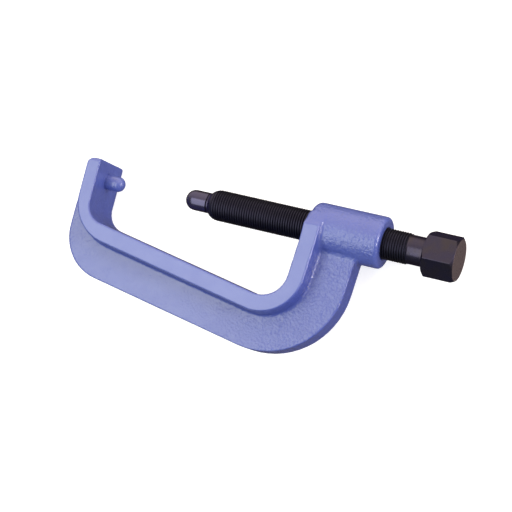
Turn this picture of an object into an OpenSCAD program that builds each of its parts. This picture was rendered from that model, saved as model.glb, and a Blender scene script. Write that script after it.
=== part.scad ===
// C-frame screw press clamp.
// X runs along the screw towards its hex head, Y from the spine up to the screw,
// and Z across the frame, which lies on its side. The origin is on the screw's
// axis, in the gripping face of the fixed jaw. All sizes are in millimetres.

/* [Throat] */
// Opening between the fixed jaw and the screw arm
throat_w = 174; // [150:1:200]
// Depth from the screw's axis down to the spine, at the fixed jaw
throat_depth = 33.7; // [30:0.1:40]
// Slope of the spine, which falls away towards the screw arm (degrees)
spine_slope = 10.1; // [6:0.1:13]
// Radius of the throat's corner at the fixed jaw
jaw_corner_r = 15.5; // [10:0.5:20]
// Radius of the throat's corner at the screw arm
arm_corner_r = 20; // [15:1:28]
// Lean of the screw arm towards the throat, below the boss (degrees)
arm_lean = 3.5; // [0:0.5:5]

/* [Frame section] */
// Width of the flange that lines the throat
flange_w = 47; // [43:1:52]
// Thickness of the flange along the spine and the screw arm
flange_t = 13; // [11:0.5:15]
// Thickness of the fixed jaw
jaw_t = 11; // [9:0.5:13]
// Height of the fixed jaw above the screw's axis
jaw_top = 13; // [10:0.5:16]
// Thickness of the web outside the flange
web_t = 20; // [16:1:24]
// Depth of the spine's whole section, flange and web
section_depth = 41.2; // [38:0.1:44]
// Depth of the screw arm's whole section
arm_depth = 42.8; // [40:0.1:45]
// How far the web stands out behind the fixed jaw
jaw_web = 6.4; // [4:0.1:9]
// Radius of the web's outer corner at the fixed jaw
web_jaw_r = 37; // [30:1:42]
// Radius of the web's outer corner at the screw arm
web_arm_r = 61.5; // [50:0.5:70]

/* [Boss] */
// Diameter of the screw boss
boss_d = 40; // [38:0.5:42]
// Length of the screw boss, from the arm's gripping side
boss_len = 59.5; // [50:0.5:65]
// Radius of the boss's rounded edge over the throat
boss_front_round = 6; // [3:0.5:7]
// Radius of the boss's rounded outer edge
boss_back_round = 3; // [2:0.5:6]
// Radial running clearance between the screw and the boss
screw_gap = 0.05; // [0.02:0.01:0.09]

/* [Forcing screw] */
// Distance from the fixed jaw to the tip of the screw, as it stands
daylight = 68.5; // [60:0.5:80]
// Thread's outer diameter
thread_d = 24; // [24:1:24]
// Thread's pitch
pitch = 2; // [2:0.5:3]
// Number of thread crests
thread_turns = 77; // [60:1:77]
// Diameter of the plain shank behind the thread
shank_d = 22.4; // [21:0.2:22.8]
// Length of the plain shank
shank_len = 14.9; // [8:0.1:16]
// Hex head's width across its flats
hex_af = 32; // [30:1:34]
// Hex head's length
hex_len = 25.3; // [20:0.1:30]
// Angle at which the hex head stands (degrees)
hex_angle = -11.9; // [-30:0.1:30]

/* [Thrust tip] */
// Diameter of the live nose at the end of the screw
nose_d = 16; // [14:0.5:17]
// Length of the nose in front of the screw
nose_len = 19; // [15:1:22]
// Diameter of the stem that holds the nose in the screw
stem_d = 10; // [8:0.5:11]
// Length of the stem
stem_len = 12; // [10:1:14]
// Gap between the nose's shoulder and the end of the screw
nose_gap = 0.4; // [0.2:0.1:0.8]
// Diameter of the retaining ring's wire
ring_wire = 1.4; // [1:0.1:1.6]

/* [Locating pin] */
// Diameter of the pin in the fixed jaw
pin_d = 12; // [8:0.5:14]
// How far the pin stands out of the jaw
pin_out = 15; // [8:0.5:16]
// How deep the pin is pressed into the jaw
pin_in = 8; // [5:0.5:8]
// How far the pin's axis lies below the screw's axis
pin_drop = 1.75; // [0:0.25:3]

/* [Hidden] */
$fn = 96;

arc_steps = 16;       // straight steps in each rounded corner
eps = 0.01;           // lets cutters run past the faces they open
flange_r = 34;        // outer corner radius of the flange
flange_inset = 6;     // how far the web reaches into the flange
lean_top = -13;       // height below which the screw arm leans, clear of the bore
runout_top = 2;       // the web fades up the back of the jaw between these heights
runout_base = -22;
runout_r = 20;        // radius of the bend where it starts to fade
bore_chamfer = 0.8;   // at both mouths of the boss's bore
collar_len = 1.3;     // plain collar at the front end of the screw
shoulder_len = 8.3;   // rounded shoulder between the collar and the thread
hex_chamfer_r = 15.8; // radius where the head's chamfers meet its end faces
hex_chamfer_a = 38;   // angle of the chamfers (degrees)
undercut_w = 0.8;     // undercut on each side of the jaw's face, where the pin leaves it
undercut_deep = 0.4;
fit_gap = 0.05;       // running clearance of the stem and the ball in their socket

slope = tan(spine_slope);
flange_drop = flange_t / cos(spine_slope);       // flange thickness, measured along Y
section_drop = section_depth / cos(spine_slope); // section depth, measured along Y
arm_back = throat_w + flange_t;
web_back = throat_w + arm_depth;
web_front = -jaw_t - jaw_web;
boss_r = boss_d / 2;
bore_r = thread_d / 2 + screw_gap;
crest_r = thread_d / 2;
root_r = crest_r - 0.6134 * pitch;
crest_w = pitch / 8;
root_w = pitch / 4;
nose_r = nose_d / 2;
stem_r = stem_d / 2;
ball_r = stem_r;
socket_r = stem_r + fit_gap;

// Stations along the screw, measured from the tip of the nose
screw_front = nose_len + nose_gap;
shoulder_start = screw_front + collar_len;
thread_start = shoulder_start + shoulder_len;
thread_end = thread_start + thread_turns * pitch;
hex_start = thread_end + shank_len;
hex_end = hex_start + hex_len;
stem_end = nose_len + stem_len;
socket_end = stem_end + 2 * ball_r + fit_gap;
ring_at = nose_len + 0.65 * stem_len;
ring_groove_w = ring_wire + 0.2;
ring_r = stem_r + fit_gap;

// Height of the line that lies the given depth under the spine's inner face
function spine_y(x, drop) = -throat_depth - slope * x - drop;

// Corner where the side of the screw arm that starts at the given x, and leans from there,
// meets the line that lies the given depth under the spine's inner face
function arm_corner(x, drop, r) =
    let (lean = tan(arm_lean),
         y = (spine_y(x, drop) + slope * lean * lean_top) / (1 + slope * lean))
    [x - lean * (lean_top - y), y, r];

function unit(v) = v / norm(v);

// Points of the arc that rounds corner b, between points a and c
function corner_arc(a, b, c, r) =
    let (u = unit([a.x - b.x, a.y - b.y]), w = unit([c.x - b.x, c.y - b.y]),
         half = acos(u * w) / 2,
         centre = [b.x, b.y] + unit(u + w) * r / sin(half),
         first = [b.x, b.y] + u * r / tan(half) - centre,
         turn = sign(u.y * w.x - u.x * w.y) * (180 - 2 * half))
    [for (i = [0:arc_steps])
        let (t = turn * i / arc_steps)
        centre + [first.x * cos(t) - first.y * sin(t), first.x * sin(t) + first.y * cos(t)]];

// Outline through corners [x, y, radius]
function rounded(corners) =
    let (n = len(corners))
    [for (i = [0:n - 1]) let (c = corners[i])
        each c.z == 0 ? [[c.x, c.y]]
                      : corner_arc(corners[(i + n - 1) % n], c, corners[(i + 1) % n], c.z)];

// Flange that lines the throat, with the fixed jaw at one end
flange_outline = rounded([
    [0, jaw_top, 1.5],
    [0, spine_y(0, 0), jaw_corner_r],
    arm_corner(throat_w, 0, arm_corner_r),
    [throat_w, lean_top, 0],
    [throat_w, 0, 0],
    [arm_back, 0, 0],
    [arm_back, lean_top, 0],
    arm_corner(arm_back, flange_drop, flange_r),
    [-jaw_t, spine_y(-jaw_t, flange_drop), flange_r],
    [-jaw_t, jaw_top, 3],
]);

// Web outside the flange; it runs out up the back of the fixed jaw
web_outline = rounded([
    [-flange_inset, runout_top, 0],
    [-flange_inset, spine_y(0, flange_inset), jaw_corner_r + flange_inset],
    arm_corner(throat_w + flange_inset, flange_inset, arm_corner_r + flange_inset),
    [throat_w + flange_inset, lean_top, 0],
    [throat_w + flange_inset, 0, 0],
    [web_back, 0, 0],
    [web_back, lean_top, 0],
    arm_corner(web_back, section_drop, web_arm_r),
    [web_front, spine_y(web_front, section_drop), web_jaw_r],
    [web_front, runout_base, runout_r],
    [-jaw_t, runout_top, 0],
]);

module along_x(x) {
    translate([x, 0, 0]) rotate([0, 90, 0]) children();
}

module flange() {
    translate([0, 0, -flange_w / 2]) linear_extrude(flange_w) polygon(flange_outline);
}

module web() {
    translate([0, 0, -web_t / 2]) linear_extrude(web_t) polygon(web_outline);
}

// Top of the screw arm: sloping shoulders from the flange's sides to the boss
module arm_shoulders() {
    side = flange_w / 2;
    touch = acos(boss_r / side);
    along_x(throat_w) linear_extrude(flange_t)
        polygon([[side, 0], [boss_r * cos(touch), boss_r * sin(touch)],
                 [-boss_r * cos(touch), boss_r * sin(touch)], [-side, 0]]);
}

module boss() {
    front = [for (i = [0:6]) let (t = 15 * i)
        [boss_r - boss_front_round * (1 - sin(t)), boss_front_round * (1 - cos(t))]];
    back = [for (i = [0:6]) let (t = 15 * i)
        [boss_r - boss_back_round * (1 - cos(t)), boss_len - boss_back_round * (1 - sin(t))]];
    along_x(throat_w) rotate_extrude() polygon(concat([[0, 0]], front, back, [[0, boss_len]]));
}

module boss_bore() {
    along_x(throat_w - eps) cylinder(h = boss_len + 2 * eps, r = bore_r);
    along_x(throat_w - eps) cylinder(h = bore_chamfer, r1 = bore_r + bore_chamfer, r2 = bore_r);
    along_x(throat_w + boss_len - bore_chamfer + eps)
        cylinder(h = bore_chamfer, r1 = bore_r, r2 = bore_r + bore_chamfer);
}

module frame() {
    color([0.53, 0.57, 0.82]) difference() {
        union() {
            flange();
            web();
            arm_shoulders();
            boss();
        }
        boss_bore();
        at_pin() along_x(-pin_in) cylinder(h = pin_in + eps, d = pin_d);
    }
}

module at_pin() {
    translate([0, -pin_drop, 0]) children();
}

module locating_pin() {
    pin_r = pin_d / 2;
    dome = [for (i = [0:8]) let (t = 90 * i / 8)
        [pin_r * cos(t), pin_out - pin_r * (1 - sin(t))]];
    color([0.53, 0.57, 0.82]) at_pin() along_x(0) rotate_extrude()
        polygon(concat([[0, -pin_in], [pin_r - 0.5, -pin_in], [pin_r, 0.5 - pin_in],
                        [pin_r, -undercut_w], [pin_r - undercut_deep, -undercut_w],
                        [pin_r - undercut_deep, undercut_w], [pin_r, undercut_w]], dome));
}

// Half-profile of the screw from its front collar to the back of its shank
function screw_profile() =
    let (rise = crest_r - nose_r,
         bend = (shoulder_len * shoulder_len + rise * rise) / (2 * rise),
         lead = asin(shoulder_len / bend),
         flank = (pitch - crest_w - root_w) / 2)
    concat(
        [[nose_r, screw_front]],
        [for (i = [0:6]) let (t = lead * (1 - i / 6))
            [crest_r - bend * (1 - cos(t)), thread_start - bend * sin(t)]],
        [for (i = [0:thread_turns - 1], p = [
            [crest_r, crest_w], [root_r, crest_w + flank],
            [root_r, crest_w + flank + root_w], [crest_r, pitch]])
            [p.x, p.y + thread_start + i * pitch]],
        [[crest_r, thread_end + crest_w], [shank_d / 2, thread_end + 1.5], [shank_d / 2, hex_start + 1]]);

module screw_socket() {
    cylinder(h = socket_end, r = socket_r);
    translate([0, 0, socket_end - eps]) cylinder(h = socket_r * 0.5, r1 = socket_r, r2 = 0);
    translate([0, 0, ring_at - ring_groove_w / 2])
        cylinder(h = ring_groove_w, r = ring_r + ring_wire / 2);
}

module hex_head() {
    corner_r = hex_af / 2 / cos(30);
    chamfer = (corner_r - hex_chamfer_r) * tan(hex_chamfer_a);
    intersection() {
        rotate(hex_angle) cylinder(h = hex_len, r = corner_r, $fn = 6);
        rotate_extrude() polygon([
            [0, 0], [hex_chamfer_r, 0], [corner_r, chamfer],
            [corner_r, hex_len - chamfer], [hex_chamfer_r, hex_len], [0, hex_len]]);
    }
}

module forcing_screw() {
    color([0.10, 0.10, 0.12]) along_x(daylight) difference() {
        union() {
            rotate_extrude() polygon(concat([[0, screw_front]], screw_profile(), [[0, hex_start + 1]]));
            translate([0, 0, hex_start]) hex_head();
        }
        screw_socket();
    }
}

module thrust_tip() {
    nose = [for (i = [0:10]) let (t = 9 * i) [nose_r * sin(t), nose_r * (1 - cos(t))]];
    neck_r = ring_r - ring_wire / 2 - 0.1;
    color([0.13, 0.12, 0.15]) along_x(daylight) difference() {
        rotate_extrude() polygon(concat(nose, [
            [nose_r, nose_len - 0.4], [nose_r - 0.4, nose_len], [stem_r, nose_len],
            [stem_r, stem_end], [0, stem_end]]));
        translate([0, 0, ring_at - ring_groove_w / 2]) difference() {
            cylinder(h = ring_groove_w, r = stem_r + 1);
            cylinder(h = ring_groove_w, r = neck_r);
        }
    }
}

module thrust_ball() {
    color([0.75, 0.76, 0.78]) along_x(daylight + stem_end + ball_r) sphere(r = ball_r);
}

// Open spring ring, sprung out into its groove in the screw
module retaining_ring() {
    color([0.55, 0.56, 0.58]) along_x(daylight + ring_at)
        rotate_extrude(angle = 330) translate([ring_r, 0]) circle(d = ring_wire, $fn = 32);
}

frame();
locating_pin();
forcing_screw();
thrust_tip();
thrust_ball();
retaining_ring();
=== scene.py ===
import math

import bmesh
import bpy
import numpy as np
from mathutils import Matrix, Vector


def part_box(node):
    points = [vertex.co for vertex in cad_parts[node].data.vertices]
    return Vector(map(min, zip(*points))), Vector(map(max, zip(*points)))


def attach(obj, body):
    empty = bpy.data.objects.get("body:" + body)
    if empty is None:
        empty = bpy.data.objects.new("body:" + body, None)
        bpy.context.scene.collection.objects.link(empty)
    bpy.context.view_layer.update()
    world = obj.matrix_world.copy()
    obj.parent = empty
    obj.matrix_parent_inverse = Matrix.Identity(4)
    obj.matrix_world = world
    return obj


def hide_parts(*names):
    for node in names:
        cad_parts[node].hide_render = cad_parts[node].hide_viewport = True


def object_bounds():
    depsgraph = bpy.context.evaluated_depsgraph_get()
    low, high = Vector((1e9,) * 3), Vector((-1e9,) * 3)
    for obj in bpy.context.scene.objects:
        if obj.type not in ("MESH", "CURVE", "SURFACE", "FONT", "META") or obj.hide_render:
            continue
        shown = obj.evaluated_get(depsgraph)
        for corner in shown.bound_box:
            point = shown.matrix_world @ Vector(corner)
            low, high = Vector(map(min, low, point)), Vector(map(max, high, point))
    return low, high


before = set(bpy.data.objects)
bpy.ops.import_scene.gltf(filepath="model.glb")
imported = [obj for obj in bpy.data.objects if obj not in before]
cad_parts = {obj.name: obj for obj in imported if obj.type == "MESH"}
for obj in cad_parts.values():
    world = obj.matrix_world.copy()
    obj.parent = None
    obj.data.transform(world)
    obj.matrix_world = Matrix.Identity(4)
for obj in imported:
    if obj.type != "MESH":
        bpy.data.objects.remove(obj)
cad_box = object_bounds()

MM = 0.001

# ---------------------------------------------------------------- sizes, in mm
# Throat and spine
THROAT = 174.0        # fixed jaw to screw arm
THROAT_DEPTH = 33.7   # screw axis to spine, at the fixed jaw
SLOPE = math.tan(math.radians(10.1))
COS_SLOPE = math.cos(math.radians(10.1))
JAW_CORNER = 15.5
ARM_CORNER = 20.0
ARM_LEAN = math.tan(math.radians(3.5))
LEAN_TOP = -13.0      # height below which the screw arm leans
JAW_T = 11.0
JAW_TOP = 13.0
JAW_TOP_ROUND = 2.5   # along the sides of the jaw's top
JAW_BACK_ROUND = 6.0  # along the back of the jaw's top
FLANGE_HALF = 23.5
FLANGE_T = 13.0
FLANGE_CORNER = 34.0
WEB_HALF = 10.0
WEB_JAW_OUT = 6.4
WEB_JAW_CORNER = 37.0
WEB_ARM_CORNER = 61.5
SECTION_DEPTH = 41.2
ARM_DEPTH = 42.8
WEB_RUNOUT = (2.0, -22.0)   # heights between which the web fades up the back of the jaw

# Boss
BOSS_R = 20.0
BOSS_END = THROAT + 59.5
BOSS_FRONT_ROUND = 6.0
BOSS_BACK_ROUND = 3.0
SHOULDER = (17.0, 10.2)     # where the arm's sloping shoulders meet the boss
BORE_R = 12.1
EDGE = 0.9                  # radius of the casting's outside edges

# Screw, measured from the tip of its nose
DAYLIGHT = 68.5
PITCH = 2.0
CREST_R = 12.0
ROOT_R = CREST_R - 0.6134 * PITCH
NOSE_R = 8.0
NOSE_LEN = 19.0
SCREW_FRONT = 19.4
COLLAR_END = 20.7
THREAD_START = 29.0
THREAD_END = THREAD_START + 77 * PITCH
SHANK_R = 11.2
HEX_START = THREAD_END + 14.9
HEX_END = HEX_START + 25.3
HEX_FLAT = 16.0
HEX_FACE_R = 15.8
HEX_CHAMFER = math.tan(math.radians(38))
HEX_ANGLE = math.radians(-11.9)
THREAD_PROFILE = [(0.0, 1), (0.0625, 1), (0.125, 0.83), (0.25, 0.42), (0.375, 0), (0.5, 0),
                  (0.625, 0), (0.75, 0.42), (0.875, 0.83), (0.9375, 1)]   # place in the pitch, height
NECK_FILLET = 1.2
SOCKET_R = 5.05
SOCKET_END = 41.05
STEM_R = 5.0
STEM_END = 31.0
RING_AT = 26.8
RING_GROOVE = 0.8

# Locating pin
PIN_R = 6.0
PIN_OUT = 15.0
PIN_IN = 8.0
PIN_DROP = 1.75   # how far its axis lies below the screw's

# ---------------------------------------------------------------- colours and lights
PAINT = (0.053, 0.077, 0.318)
PAINT_PALE = (0.062, 0.090, 0.338)
# darker blue used as painted shade, on the web and in hollows
PAINT_SHADE = (0.022, 0.038, 0.235)
OXIDE = (0.036, 0.032, 0.060)
OXIDE_BROWN = (0.046, 0.038, 0.042)
# near-black painted shade for the threaded length
OXIDE_THREAD_SHADE = (0.004, 0.004, 0.005)
OXIDE_WORN = (0.10, 0.085, 0.13)
# lighter warm brown painted on the head's end face as a painted reflection
OXIDE_END_REFLECTION = (0.068, 0.050, 0.049)
OXIDE_TINT = (0.60, 0.56, 1.0, 1)
NOSE_OXIDE = (0.008, 0.006, 0.009)
NOSE_BROWN = (0.016, 0.011, 0.011)
ROOM_DARK = (0.19, 0.22, 0.29)
ROOM_LIGHT = (1.95, 1.74, 1.54)
ROOM_LOW = (0.10, 0.085, 0.08)
KEY_PLACE = (-0.28, -0.38, 0.95)
KEY_SIZE = (0.72, 1.25)
KEY_POWER = 10.3
KEY_COLOUR = (0.94, 0.98, 0.90)
RIM_PLACE = (1.04, 0.03, 0.34)
RIM_SIZE = (0.12, 0.40)
RIM_POWER = 6.0
RIM_COLOUR = (1.0, 0.93, 0.90)
FLOOR_GLOW = 0.72

# ---------------------------------------------------------------- camera
CAMERA_AT = Vector((0.6949, -0.1359, 1.5232))
LOOK_AT = Vector((0.1358, -0.0315, 0.0))
CAMERA_UP = Vector((-0.2165, 0.9654, 0.1457))
CAMERA_LENS = 149.7


def look_matrix(place, target, up):
    back = (place - target).normalized()
    right = up.cross(back).normalized()
    turned = Matrix((right, back.cross(right), back)).transposed()
    return Matrix.Translation(place) @ turned.to_4x4()


def make_camera():
    camera = bpy.data.objects.new("camera", bpy.data.cameras.new("camera"))
    bpy.context.scene.collection.objects.link(camera)
    camera.data.lens = CAMERA_LENS
    camera.matrix_world = look_matrix(CAMERA_AT, LOOK_AT, CAMERA_UP)
    bpy.context.scene.camera = camera


# ---------------------------------------------------------------- mesh tools
def mesh_object(name, verts, faces):
    mesh = bpy.data.meshes.new(name)
    mesh.from_pydata(verts, [], faces)
    mesh.validate()
    mesh.shade_smooth()
    piece = bpy.data.objects.new(name, mesh)
    bpy.context.scene.collection.objects.link(piece)
    return piece


def corner_arc(a, b, c, radius, steps=16):
    a, b, c = (np.array(p[:2], float) for p in (a, b, c))
    u, w = (a - b) / np.linalg.norm(a - b), (c - b) / np.linalg.norm(c - b)
    half = math.acos(u @ w) / 2
    centre = b + (u + w) / np.linalg.norm(u + w) * radius / math.sin(half)
    first = b + u * radius / math.tan(half) - centre
    turn = math.copysign(math.pi - 2 * half, u[1] * w[0] - u[0] * w[1])
    angles = np.linspace(0, turn, steps + 1)
    return [centre + (first[0] * math.cos(t) - first[1] * math.sin(t),
                      first[0] * math.sin(t) + first[1] * math.cos(t)) for t in angles]


def rounded(corners):
    """Outline through corners (x, y, radius), with arcs at the corners that have a radius."""
    points = []
    for i, corner in enumerate(corners):
        if corner[2]:
            points += corner_arc(corners[i - 1], corner, corners[(i + 1) % len(corners)], corner[2])
        else:
            points.append(np.array(corner[:2], float))
    return np.array(points)


def outline_distance(outline, x, y):
    """Signed distance from the points x, y to a closed outline, negative inside it."""
    best = np.full(x.shape, np.inf)
    inside = np.zeros(x.shape, bool)
    for (ax, ay), (bx, by) in zip(outline, np.roll(outline, -1, axis=0)):
        dx, dy = bx - ax, by - ay
        t = np.clip(((x - ax) * dx + (y - ay) * dy) / (dx * dx + dy * dy + 1e-12), 0, 1)
        best = np.minimum(best, (x - ax - t * dx) ** 2 + (y - ay - t * dy) ** 2)
        if ay != by:
            inside ^= ((ay > y) != (by > y)) & (x < (y - ay) * dx / dy + ax)
    return np.sqrt(best) * np.where(inside, -1, 1)


def cut(radius, *fields):
    """Where all the fields are solid, with outside edges rounded to the radius."""
    top = fields[0]
    for field in fields[1:]:
        top = np.maximum(top, field)
    over = sum(np.maximum(field + radius, 0) ** 2 for field in fields)
    return np.minimum(top, -radius) + np.sqrt(over)


def join(radius, *fields):
    """Where any of the fields is solid, with inside corners filleted to the radius."""
    return -cut(radius, *[-field for field in fields])


def cast_noise(shape, step, grain, seed):
    """Smooth random field of unit spread, with lumps about one grain across."""
    rng = np.random.default_rng(seed)
    waves = np.fft.rfftn(rng.standard_normal(shape))
    k2 = sum(
        f**2 for f in np.meshgrid(np.fft.fftfreq(shape[0]), np.fft.fftfreq(shape[1]),
                                  np.fft.rfftfreq(shape[2]), indexing="ij", sparse=True))
    sigma = grain / step / 2
    field = np.fft.irfftn(waves * np.exp(-2 * (math.pi * sigma) ** 2 * k2), shape)
    return field / field.std()


CELL_CORNERS = [(i, j, k) for i in (0, 1) for j in (0, 1) for k in (0, 1)]
CELL_EDGES = [(a, b) for a in CELL_CORNERS for b in CELL_CORNERS
              if sum(b) - sum(a) == 1 and sum(abs(p - q) for p, q in zip(a, b)) == 1]


def surface_of(field, origin, step):
    """Quads on the zero level of a field on a grid: one vertex in each cell that the surface crosses."""
    size = np.array(field.shape) - 1

    def corner(c):
        return field[tuple(slice(o, o + n) for o, n in zip(c, size))]

    total = np.zeros((*size, 3))
    count = np.zeros(tuple(size))
    for a, b in CELL_EDGES:
        fa, fb = corner(a), corner(b)
        crossed = (fa < 0) != (fb < 0)
        t = np.where(crossed, fa / np.where(crossed, fa - fb, 1), 0)
        for axis in range(3):
            total[..., axis] += crossed * (a[axis] + t * (b[axis] - a[axis]))
        count += crossed
    cells = np.argwhere(count > 0)
    number = np.full(tuple(size), -1)
    number[tuple(cells.T)] = np.arange(len(cells))
    verts = origin + step * (cells + total[tuple(cells.T)] / count[tuple(cells.T)][:, None])

    quads = []
    for axis in range(3):
        u, v = (axis + 1) % 3, (axis + 2) % 3
        low = field[tuple(slice(0, -1) if d == axis else slice(1, -1) for d in range(3))]
        high = field[tuple(slice(1, None) if d == axis else slice(1, -1) for d in range(3))]
        for leaving in (True, False):
            crossed = (low < 0) & (high >= 0) if leaving else (low >= 0) & (high < 0)
            at = np.argwhere(crossed)
            at[:, [u, v]] += 1
            ring = [(0, 0), (-1, 0), (-1, -1), (0, -1)]
            if not leaving:
                ring = ring[::-1]
            corners = []
            for du, dv in ring:
                cell = at.copy()
                cell[:, u] += du
                cell[:, v] += dv
                corners.append(number[tuple(cell.T)])
            quads.append(np.stack(corners, 1))
    return verts, np.concatenate(quads)


# ---------------------------------------------------------------- frame casting
def spine_y(x, drop):
    return -THROAT_DEPTH - SLOPE * x - drop


def arm_side(x, drop, radius, top):
    """Corners of the screw arm's side that starts at x: under the spine, where it leans, and at the top."""
    y = (spine_y(x, drop) + SLOPE * ARM_LEAN * LEAN_TOP) / (1 + SLOPE * ARM_LEAN)
    return [(x - ARM_LEAN * (LEAN_TOP - y), y, radius), (x, LEAN_TOP, 0), (x, top, 0)]


def frame_outlines():
    flange_drop, section_drop = FLANGE_T / COS_SLOPE, SECTION_DEPTH / COS_SLOPE
    web_front = -JAW_T - WEB_JAW_OUT
    high = 60
    throat = rounded([(0, high, 0), (0, spine_y(0, 0), JAW_CORNER), *arm_side(THROAT, 0, ARM_CORNER, high)])
    flange = rounded([(-JAW_T, high, 0), (-JAW_T, spine_y(-JAW_T, flange_drop), FLANGE_CORNER),
                      *arm_side(THROAT + FLANGE_T, flange_drop, FLANGE_CORNER, high)])
    web = rounded([(-JAW_T + 3, WEB_RUNOUT[0], 0), (-JAW_T, WEB_RUNOUT[0], 0), (web_front, WEB_RUNOUT[1], 20),
                   (web_front, spine_y(web_front, section_drop), WEB_JAW_CORNER),
                   *arm_side(THROAT + ARM_DEPTH, section_drop, WEB_ARM_CORNER, 0)])
    return throat, flange, web


def arm_section():
    """Cross-section of the screw arm's top: flat sides, then shoulders that slope up to the boss."""
    z, y = SHOULDER
    half, low = FLANGE_HALF, -60
    return np.array([(half, low), (half, 0), (z, y), (-z, y), (-half, 0), (-half, low)])


def frame_field(x, y, z):
    """Distance to the casting's surface, negative inside, for the grid lines x, y and z."""
    gx, gy = np.meshgrid(x, y, indexing="ij")
    throat, flange, web = (outline_distance(o, gx, gy)[:, :, None] for o in frame_outlines())
    gz, gy2 = np.meshgrid(z, y, indexing="xy")
    section = outline_distance(arm_section(), gz, gy2)[None]
    x, y, z = x[:, None, None], y[None, :, None], z[None, None, :]
    side = np.abs(z)

    draft = (0.03 + 0.09 * np.clip((x + 5) / 30, 0, 1)) * (FLANGE_HALF - side)
    sides, back = side - FLANGE_HALF, flange - draft
    top = y - np.where(x < THROAT / 2, JAW_TOP, 0)
    rim = cut(EDGE, -throat, back, sides, top)
    rim = np.maximum(rim, np.maximum(cut(JAW_TOP_ROUND, sides, top), cut(JAW_BACK_ROUND, back, top)))
    arm_top = cut(EDGE + 3 * np.clip(y / 10, 0, 1), section + 0 * x, THROAT - x + 0 * side)
    arm_top = cut(EDGE, arm_top, x - THROAT - FLANGE_T - draft)
    rim = np.minimum(rim, np.where(y > -12, arm_top, 1e3))

    web_half = WEB_HALF - 0.2 - 0.01 * np.minimum(web, 0)
    plate = cut(EDGE, web, side - web_half, 3 - throat, y - WEB_RUNOUT[0] + 0 * side + 0 * x)
    reach = np.sqrt(y**2 + z**2)
    boss = np.maximum(cut(BOSS_FRONT_ROUND, reach - BOSS_R, THROAT - x + 0 * reach),
                      cut(BOSS_BACK_ROUND, reach - BOSS_R, x - BOSS_END + 0 * reach))
    return join(2.4, join(2.2, rim, plate), boss)


def build_frame(step=0.7):
    lo, hi = (np.array(c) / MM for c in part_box("frame"))
    margin = 3 * step
    axes = [np.arange(lo[i] - margin, hi[i] + margin, step) for i in range(3)]
    field = frame_field(*axes)
    x, y, z = axes[0][:, None, None], axes[1][None, :, None], axes[2][None, None, :]
    lumps = cast_noise(field.shape, step, 5.0, 11)
    fine = cast_noise(field.shape, step, 2.2, 12)
    smooth = np.clip((np.abs(z) - FLANGE_HALF + 2.5) / 2, 0, 0.85)
    field = field + 0.06 + (0.016 * lumps + 0.010 * fine) * (1 - smooth)
    mouth = np.clip(0.8 - np.minimum(np.abs(x - THROAT), np.abs(x - BOSS_END)), 0, None)
    bore = np.where(x > THROAT / 2, BORE_R + mouth, 0) - np.sqrt(y**2 + z**2)
    field = np.maximum(field, bore)
    verts, quads = surface_of(field, np.array([a[0] for a in axes]), step)
    return mesh_object("cast_frame", (verts * MM).tolist(), quads.tolist())


# ---------------------------------------------------------------- turned parts
def sector_angles():
    """Angles round the screw: 16 to each flat of the head, closest together at its corners."""
    steps = np.radians([0, 0.45, 0.9, 1.3, 4, 9, 15, 22.5, 30, 37.5, 45, 51, 56, 58.7, 59.1, 59.55])
    return np.concatenate([HEX_ANGLE + math.radians(60 * k) + steps for k in range(6)])


def hex_reach(angles, rounding=0.8):
    """Distance from the axis to the head's rounded hexagon, in each direction."""
    off = np.abs((angles - HEX_ANGLE + math.pi / 6) % (math.pi / 3) - math.pi / 6)
    centre = (HEX_FLAT - rounding) / math.cos(math.pi / 6)
    arc_end = math.atan2(rounding / 2, centre + rounding * math.cos(math.pi / 6))
    flat = HEX_FLAT / np.cos(math.pi / 6 - off)
    arc = centre * np.cos(off) + np.sqrt(np.maximum(rounding**2 - (centre * np.sin(off)) ** 2, 0))
    return np.where(off < arc_end, arc, flat)


def round_steps(x, r, radius, start, end, count=5):
    """Rows along an arc of a turned profile about the point x, r, from angle start to end."""
    return [(x + radius * math.cos(math.radians(t)), r + radius * math.sin(math.radians(t)))
            for t in np.linspace(start, end, count)]


def turned(name, rows, angles, lead=(0, 0, 0), smooth=35):
    """Closed mesh from rows round the X axis, each (x, r) with numbers or one value per angle.

    In the rows from lead[0] to lead[1], the last angle joins the first one lead[2] rows further on,
    so these rows wind round the axis as a thread does.
    """
    count = len(angles)
    ones = np.ones(count)
    xs = np.array([row[0] * ones for row in rows]) + DAYLIGHT
    rs = np.array([row[1] * ones for row in rows])
    verts = np.stack([xs, rs * np.cos(angles), rs * np.sin(angles)], -1).reshape(-1, 3) * MM
    i, j = np.meshgrid(np.arange(len(rows) - 1), np.arange(count), indexing="ij")
    k = (j + 1) % count

    def partner(row):
        winds = (j == count - 1) & (row >= lead[0]) & (row < lead[1])
        return np.where(winds, np.minimum(row + lead[2], lead[1]), row)

    near, far = partner(i), partner(i + 1)
    faces = np.stack([i * count + j, near * count + k, far * count + k, (i + 1) * count + j], -1)
    piece = mesh_object(name, verts.tolist(), faces.reshape(-1, 4).tolist())
    merge_points(piece, smooth)
    return piece


def merge_points(piece, smooth):
    """Merges the points that fall together, turns the faces outwards and marks the sharp edges."""
    bm = bmesh.new()
    bm.from_mesh(piece.data)
    bmesh.ops.remove_doubles(bm, verts=bm.verts, dist=0.002 * MM)
    bmesh.ops.dissolve_degenerate(bm, dist=0.001 * MM, edges=bm.edges)
    bmesh.ops.recalc_face_normals(bm, faces=bm.faces)
    bm.to_mesh(piece.data)
    bm.free()
    piece.data.shade_smooth()
    piece.data.set_sharp_from_angle(angle=math.radians(smooth))


def bar_radius(x):
    """Radius of the screw's bar before its thread was cut: a plain collar, then a rounded shoulder."""
    rise, length = CREST_R - NOSE_R, THREAD_START - COLLAR_END
    bend = (length**2 + rise**2) / (2 * rise)
    back = np.clip(THREAD_START - x, 0, length)
    return np.where(x < COLLAR_END, NOSE_R, CREST_R - bend + np.sqrt(bend**2 - back**2))


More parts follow.
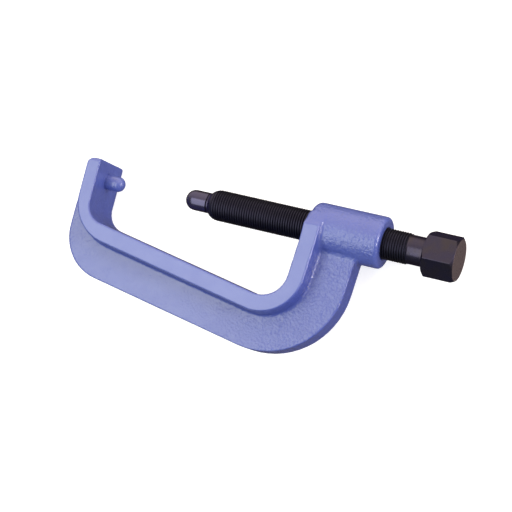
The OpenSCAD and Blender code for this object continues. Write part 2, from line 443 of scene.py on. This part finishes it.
def thread_rows(angles):
    """Rows of the right-hand thread: each keeps to one place in the thread's profile as it winds."""
    wind = (angles - angles[0]) / (2 * math.pi)
    begin, end = SCREW_FRONT + 0.3, THREAD_END + 4
    first, last = math.floor(begin / PITCH) - 2, math.ceil(end / PITCH) + 2
    rows = []
    for turn in range(first, last):
        for place, height in THREAD_PROFILE:
            x = np.clip((turn + place + wind) * PITCH, begin, end)
            fade = np.clip((x - THREAD_END) / 2.5, 0, 1)
            cut_r = (ROOT_R + (CREST_R - ROOT_R) * height) * (1 - fade) + SHANK_R * fade
            rows.append((x, np.minimum(bar_radius(x), cut_r)))
    return rows


def head_rows(angles):
    """Rows of the hex head, with both of its ends turned to a cone."""
    head = hex_reach(angles)
    rim = np.minimum(head, HEX_FACE_R)
    drop = np.maximum(head - HEX_FACE_R, 0) * HEX_CHAMFER
    return [(HEX_START, rim), (HEX_START + drop, head), (HEX_END - drop, head), (HEX_END, rim),
            (HEX_END, 0)]


def build_screw():
    angles = sector_angles()
    front = [(SOCKET_END + 2.5, 0), (SOCKET_END, SOCKET_R),
             (RING_AT + RING_GROOVE, SOCKET_R), (RING_AT + RING_GROOVE, SOCKET_R + 0.7),
             (RING_AT - RING_GROOVE, SOCKET_R + 0.7), (RING_AT - RING_GROOVE, SOCKET_R),
             (SCREW_FRONT + 0.3, SOCKET_R), (SCREW_FRONT, SOCKET_R + 0.3),
             (SCREW_FRONT, NOSE_R - 0.3), (SCREW_FRONT + 0.3, NOSE_R)]
    thread = thread_rows(angles)
    neck = [(HEX_START - NECK_FILLET, SHANK_R)]
    neck += round_steps(HEX_START - NECK_FILLET, SHANK_R + NECK_FILLET, NECK_FILLET, 270, 360)[1:]
    rows = front + thread + neck + head_rows(angles)
    winds = (len(front), len(front) + len(thread) - 1, len(THREAD_PROFILE))
    return turned("forcing_screw_body", rows, angles, winds)


def even_angles(count):
    return np.linspace(0, 2 * math.pi, count, endpoint=False)


def build_nose():
    ring_neck = STEM_R - 0.8
    rows = round_steps(NOSE_R, 0, NOSE_R, 180, 90, 16)
    rows += [(NOSE_LEN - 0.9, NOSE_R)]
    rows += round_steps(NOSE_LEN - 0.5, NOSE_R - 0.5, 0.5, 90, 0)
    rows += [(NOSE_LEN, STEM_R), (RING_AT - RING_GROOVE, STEM_R), (RING_AT - RING_GROOVE, ring_neck),
             (RING_AT + RING_GROOVE, ring_neck), (RING_AT + RING_GROOVE, STEM_R),
             (STEM_END - 0.4, STEM_R), (STEM_END, STEM_R - 0.4), (STEM_END, 0)]
    return turned("live_nose", rows, even_angles(72))


def build_pin():
    dome = round_steps(PIN_OUT - PIN_R, 0, PIN_R, 90, 0, 14)
    rows = [(-PIN_IN, 0), (-PIN_IN, PIN_R - 0.5), (0.5 - PIN_IN, PIN_R), (-1, PIN_R), (2, PIN_R), *dome]
    pin = turned("fixed_pin", [(x - DAYLIGHT, r) for x, r in rows], even_angles(56), smooth=50)
    pin.data.transform(Matrix.Translation((0, -PIN_DROP * MM, 0)))
    return pin


# ---------------------------------------------------------------- materials
class Nodes:
    """Short way to write a node tree: calls that add a node, set its sockets and link them."""

    def __init__(self, tree):
        self.tree = tree
        tree.nodes.clear()

    def add(self, kind, inputs=None, **settings):
        node = self.tree.nodes.new("ShaderNode" + kind)
        for key, value in settings.items():
            setattr(node, key, value)
        for key, value in (inputs or {}).items():
            if isinstance(value, bpy.types.NodeSocket):
                self.tree.links.new(value, node.inputs[key])
            else:
                node.inputs[key].default_value = value
        return node

    def math(self, operation, a, b=0.0, clamp=False):
        return self.add("Math", {0: a, 1: b}, operation=operation, use_clamp=clamp).outputs[0]

    def noise(self, where, size, detail=2.0):
        """Smooth noise about 0.5, with lumps of the given size in metres."""
        return self.add("TexNoise", {"Vector": where, "Scale": 1 / size, "Detail": detail}).outputs["Fac"]

    def span(self, value, low, high):
        """The value, taken from 0.3 to 0.7, spread from low to high."""
        inputs = {"Value": value, "From Min": 0.3, "From Max": 0.7, "To Min": low, "To Max": high}
        return self.add("MapRange", inputs).outputs["Result"]

    def mix(self, factor, a, b):
        return self.add("Mix", {0: factor, 6: a, 7: b}, data_type="RGBA").outputs[2]

    def bump(self, height, depth, strength=1.0, normal=None):
        inputs = {"Height": height, "Distance": depth, "Strength": strength}
        if normal is not None:
            inputs["Normal"] = normal
        return self.add("Bump", inputs).outputs["Normal"]

    def place(self):
        return self.add("TexCoord").outputs["Object"]

    def finish(self, shader):
        self.add("OutputMaterial", {"Surface": shader})


def new_material(name, viewport):
    material = bpy.data.materials.new(name)
    material.use_nodes = True
    material.diffuse_color = viewport
    return material, Nodes(material.node_tree)


def blue_paint():
    """Semi-gloss paint over rough casting, coarser towards the arm, with painted shade that darkens the web
    and the hollows.
    """
    material, n = new_material("blue_paint", (*PAINT, 1))
    where = n.place()
    drift = n.span(n.noise(where, 0.030, 3), 0, 1)
    colour = n.mix(drift, (*PAINT, 1), (*PAINT_PALE, 1))
    # Painted shade: the paint darkens towards the shade colour in hollows and corners, as far as ambient
    # occlusion finds them shut in.
    shade_ao = n.add("AmbientOcclusion", {"Distance": 0.020}, samples=4, only_local=True).outputs["AO"]
    hollow = n.math("SUBTRACT", 1.0, shade_ao, clamp=True)
    colour = n.mix(n.math("MULTIPLY", hollow, 0.55), colour, (*PAINT_SHADE, 1))
    along = n.add("SeparateXYZ", {"Vector": where}).outputs
    across = n.math("ABSOLUTE", along["Z"])
    side = {"Value": across, "From Min": FLANGE_HALF * MM - 0.002, "From Max": FLANGE_HALF * MM - 0.0008,
            "To Min": 1.0, "To Max": 0.12}
    rough_cast = n.add("MapRange", side).outputs["Result"]
    # Painted shade: the web, set back between the flanges, is darkened towards the shade colour where its
    # rough cast shows.
    web_shade = n.add("MapRange", {"Value": along["Y"], "From Min": -0.030, "From Max": -0.018,
                                "To Min": 0.26, "To Max": 0.0}).outputs["Result"]
    colour = n.mix(n.math("MULTIPLY", web_shade, rough_cast), colour, (*PAINT_SHADE, 1))
    coarse = n.add("MapRange", {"Value": along["X"], "From Min": 0.08, "From Max": 0.17,
                                "To Min": 0.35, "To Max": 0.9}).outputs["Result"]
    peel = n.bump(n.noise(where, 0.0019, 2), 0.00080, n.math("MULTIPLY", rough_cast, coarse))
    lumps = n.bump(n.noise(where, 0.0070, 1), 0.0013, n.math("MULTIPLY", rough_cast, 0.4), peel)
    paint = n.add("BsdfPrincipled", {
        "Base Color": colour,
        "Roughness": n.span(n.noise(where, 0.010, 3), 0.40, 0.52),
        "IOR": 1.5,
        "Coat Weight": 1.0,
        "Coat Roughness": 0.20,
        "Normal": lumps,
        "Coat Normal": peel,
    })
    n.finish(paint.outputs[0])
    return material


def black_oxide():
    """Oiled black oxide over turned steel: fine tool rings, a violet and brown bloom, worn edges, painted
    shade that darkens the thread and a painted reflection on the head's end face.
    """
    material, n = new_material("black_oxide", (0.05, 0.05, 0.06, 1))
    where = n.place()
    bloom = n.span(n.noise(where, 0.012, 3), 0, 1)
    colour = n.mix(bloom, (*OXIDE, 1), (*OXIDE_BROWN, 1))
    edge = n.add("Bevel", {"Radius": 0.0007}, samples=4).outputs["Normal"]
    face = n.add("NewGeometry").outputs["Normal"]
    turn = n.add("VectorMath", {0: edge, 1: face}, operation="DOT_PRODUCT").outputs["Value"]
    worn = n.math("MULTIPLY", n.math("SUBTRACT", 1.0, turn), 1.2, clamp=True)
    along = n.add("SeparateXYZ", {"Vector": where}).outputs["X"]
    started = n.math("GREATER_THAN", along, (DAYLIGHT + THREAD_START - 6) * MM)
    thread = n.math("MULTIPLY", started, n.math("LESS_THAN", along, (DAYLIGHT + THREAD_END + 1) * MM))
    plain = n.math("SUBTRACT", 1.0, thread)
    # Painted shade: the threaded length is given a near-black colour for the light its grooves trap.
    colour = n.mix(thread, colour, (*OXIDE_THREAD_SHADE, 1))
    colour = n.mix(n.math("MULTIPLY", worn, n.math("ADD", n.math("MULTIPLY", plain, 0.85), 0.15)), colour,
                   (*OXIDE_WORN, 1))
    # Painted reflection: the end face of the head is given a lighter warm brown and less metal, standing in
    # for the warm floor it reflects.
    end_face = n.math("GREATER_THAN", along, (DAYLIGHT + HEX_END - 0.2) * MM)
    colour = n.mix(end_face, colour, (*OXIDE_END_REFLECTION, 1))
    across = n.add("Mapping", {"Vector": where, "Scale": (1.0, 0.05, 0.05)}).outputs["Vector"]
    rings = n.bump(n.noise(across, 0.00035, 2), 0.00004, 0.5)
    grain = n.bump(n.noise(where, 0.0011, 2), 0.00004, n.math("MULTIPLY", plain, 0.3), rings)
    oxide = n.add("BsdfPrincipled", {
        "Base Color": colour,
        "Metallic": n.math("ADD", n.math("MULTIPLY", n.math("SUBTRACT", plain, end_face), 0.7), 0.2),
        "Roughness": n.math("ADD", n.math("MULTIPLY", thread, 0.12),
                            n.span(n.noise(where, 0.003, 3), 0.26, 0.34)),
        "IOR": 1.5,
        "Specular Tint": OXIDE_TINT,
        "Normal": grain,
    })
    n.finish(oxide.outputs[0])
    return material


def polished_oxide():
    """The same finish on a ground surface, so smoother and glossier."""
    material, n = new_material("polished_oxide", (0.06, 0.05, 0.07, 1))
    where = n.place()
    colour = n.mix(n.span(n.noise(where, 0.006, 2), 0, 1), (*NOSE_OXIDE, 1), (*NOSE_BROWN, 1))
    across = n.add("Mapping", {"Vector": where, "Scale": (1.0, 0.05, 0.05)}).outputs["Vector"]
    rings = n.bump(n.noise(across, 0.0003, 2), 0.00002, 0.4)
    oxide = n.add("BsdfPrincipled", {
        "Base Color": colour,
        "Metallic": 0.3,
        "Roughness": n.span(n.noise(where, 0.002, 2), 0.21, 0.27),
        "IOR": 2.05,
        "Specular Tint": OXIDE_TINT,
        "Normal": rings,
    })
    n.finish(oxide.outputs[0])
    return material


def bare_steel(name, colour, low, high, grain):
    """Bare steel with a fine drawn or ground grain."""
    material, n = new_material(name, (*colour, 1))
    where = n.place()
    steel = n.add("BsdfPrincipled", {
        "Base Color": n.mix(n.span(n.noise(where, 0.002, 2), 0, 1), (*colour, 1),
                            (*[0.8 * c for c in colour], 1)),
        "Metallic": 1.0,
        "Roughness": n.span(n.noise(where, 0.001, 2), low, high),
        "Normal": n.bump(n.noise(where, grain, 2), 0.00001, 0.5),
    })
    n.finish(steel.outputs[0])
    return material


def floor_paper():
    """Matt white paper with a glow of its own, which keeps the clamp's shadow faint."""
    material, n = new_material("floor_paper", (0.95, 0.95, 0.95, 1))
    where = n.place()
    tone = n.mix(n.span(n.noise(where, 0.4, 2), 0, 1), (0.55, 0.55, 0.55, 1), (0.57, 0.57, 0.57, 1))
    paper = n.add("BsdfDiffuse", {"Color": tone, "Normal": n.bump(n.noise(where, 0.002, 2), 0.0001, 0.1)})
    glow = n.add("Emission", {"Color": (1, 1, 1, 1), "Strength": FLOOR_GLOW})
    n.finish(n.add("AddShader", {0: paper.outputs[0], 1: glow.outputs[0]}).outputs[0])
    return material


# ---------------------------------------------------------------- studio
def softbox(name, place, target, size, power, colour):
    light = bpy.data.lights.new(name, "AREA")
    light.shape, light.size, light.size_y = "RECTANGLE", *size
    light.energy, light.color = power, colour
    lamp = bpy.data.objects.new(name, light)
    bpy.context.scene.collection.objects.link(lamp)
    place, target = Vector(place), Vector(target)
    lamp.matrix_world = look_matrix(place, target, Vector((0, 1, 0)))
    lamp.visible_camera = False


def room_light():
    """Dim room: warm and light beyond the screw, darker towards the spine, dark low down."""
    world = bpy.data.worlds.new("room")
    bpy.context.scene.world = world
    world.use_nodes = True
    n = Nodes(world.node_tree)
    way = n.add("SeparateXYZ", {"Vector": n.add("TexCoord").outputs["Generated"]}).outputs
    side = n.add("MapRange", {"Value": way["Y"], "From Min": -0.4, "From Max": 0.8},
                 interpolation_type="SMOOTHSTEP")
    colour = n.mix(side.outputs["Result"], (*ROOM_DARK, 1), (*ROOM_LIGHT, 1))
    height = n.add("MapRange", {"Value": way["Z"], "From Min": -0.5, "From Max": 0.1},
                   interpolation_type="SMOOTHSTEP")
    colour = n.mix(height.outputs["Result"], (*ROOM_LOW, 1), colour)
    light = n.add("Background", {"Color": colour, "Strength": 1.0})
    n.add("OutputWorld", {"Surface": light.outputs[0]})


def build_floor():
    low = min(cad_box[0][2], cad_box[1][2])
    half = 3.0
    verts = [(-half, -half, low), (half, -half, low), (half, half, low), (-half, half, low)]
    floor = mesh_object("floor", verts, [(0, 1, 2, 3)])
    floor.data.materials.append(floor_paper())
    floor.visible_glossy = False


# ---------------------------------------------------------------- the clamp
def fit_out(piece, body, node, material):
    piece.data.materials.append(material)
    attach(piece, body)
    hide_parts(node)


def repaint(node, material):
    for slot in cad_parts[node].material_slots:
        slot.material = material


def build_clamp():
    paint = blue_paint()
    fit_out(build_frame(), "frame", "frame", paint)
    fit_out(build_pin(), "frame", "locating_pin", paint)
    fit_out(build_screw(), "forcing_screw", "forcing_screw", black_oxide())
    fit_out(build_nose(), "thrust_tip", "thrust_tip", polished_oxide())
    repaint("thrust_ball", bare_steel("bearing_steel", (0.75, 0.76, 0.78), 0.08, 0.14, 0.0004))
    repaint("retaining_ring", bare_steel("spring_steel", (0.45, 0.46, 0.48), 0.25, 0.4, 0.0002))


def build_studio():
    bpy.context.scene.view_settings.view_transform = "Standard"
    build_floor()
    room_light()
    softbox("key", KEY_PLACE, LOOK_AT, KEY_SIZE, KEY_POWER, KEY_COLOUR)
    softbox("rim", RIM_PLACE, LOOK_AT, RIM_SIZE, RIM_POWER, RIM_COLOUR)


make_camera()
build_studio()
build_clamp()
